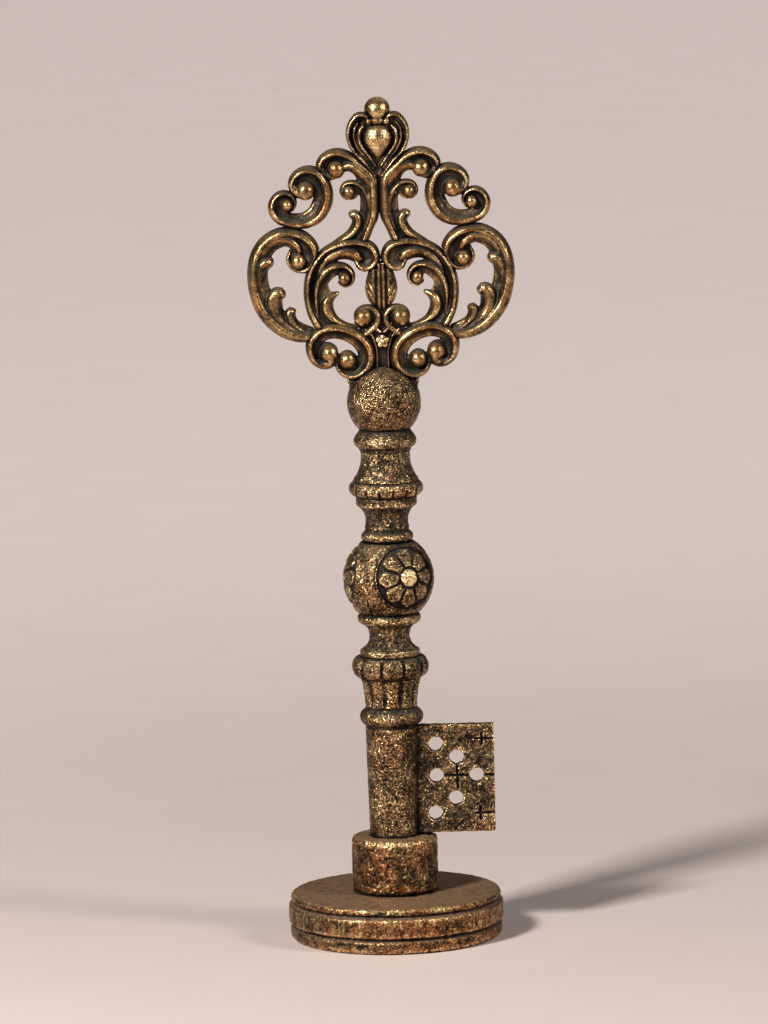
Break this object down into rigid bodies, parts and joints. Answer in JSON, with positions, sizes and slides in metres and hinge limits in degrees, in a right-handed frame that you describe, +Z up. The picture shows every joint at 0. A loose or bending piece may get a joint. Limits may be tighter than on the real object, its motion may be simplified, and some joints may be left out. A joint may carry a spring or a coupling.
{
  "type": "ornamental key",
  "caption": "Giant ornamental key standing on a round foot: pierced scrollwork bow, turned baluster stem with carved flowers, and a holed bit, in antique gold.",
  "frame": {"origin": "centre of the underside of the foot, on the surface that the key stands on", "axes": "+Z up along the stem, +X to the right along the bit, +Y to the back, away from the camera"},
  "size_m": [0.1558, 0.126, 0.4954],
  "materials": {
    "gilded_scroll": "smooth cast resin, gilded: bright antique gold on the raised edges over a dark grey-brown ground",
    "gilded_stem": "hammered cast resin, gilded: worn gold and orange-bronze flecks over a dark grey-brown ground",
    "gilded_foot": "hammered cast resin, gilded: dull bronze with gold on the rims and a grey bloom on top",
    "steel": "zinc plated",
    "felt": "dark felt"
  },
  "bodies": {
    "root": {"base_pad": "felt", "base_disc": "gilded_foot", "tie_rod": "steel", "rod_washer": "steel", "rod_nut": "steel", "socket_collar": "gilded_foot", "shank": "gilded_stem", "bit_plate": "gilded_stem", "shank_ring": "gilded_stem", "fluted_cup": "gilded_stem", "lobed_collar": "gilded_stem", "lower_neck": "gilded_stem", "knop_ring": "gilded_stem", "flower_knop": "gilded_stem", "rosette_front": "gilded_stem", "rosette_back": "gilded_stem", "rosette_left": "gilded_stem", "upper_cove": "gilded_stem", "beaded_collar": "gilded_stem", "upper_bell": "gilded_stem", "neck_ring": "gilded_stem", "bow_ball": "gilded_stem", "bow_root": "gilded_scroll", "root_flower_front": "gilded_scroll", "root_flower_back": "gilded_scroll", "root_scroll_left": "gilded_scroll", "root_scroll_right": "gilded_scroll", "heart_volute_left": "gilded_scroll", "heart_volute_right": "gilded_scroll", "calyx_bud": "gilded_scroll", "inner_scroll_left": "gilded_scroll", "inner_scroll_right": "gilded_scroll", "leaf_stem_left": "gilded_scroll", "leaf_stem_right": "gilded_scroll", "outer_scroll_left": "gilded_scroll", "outer_scroll_right": "gilded_scroll", "ear_scroll_left": "gilded_scroll", "ear_scroll_right": "gilded_scroll", "crest": "gilded_scroll", "cabochon": "gilded_scroll", "finial_ball": "gilded_scroll"}
  },
  "joints": []
}
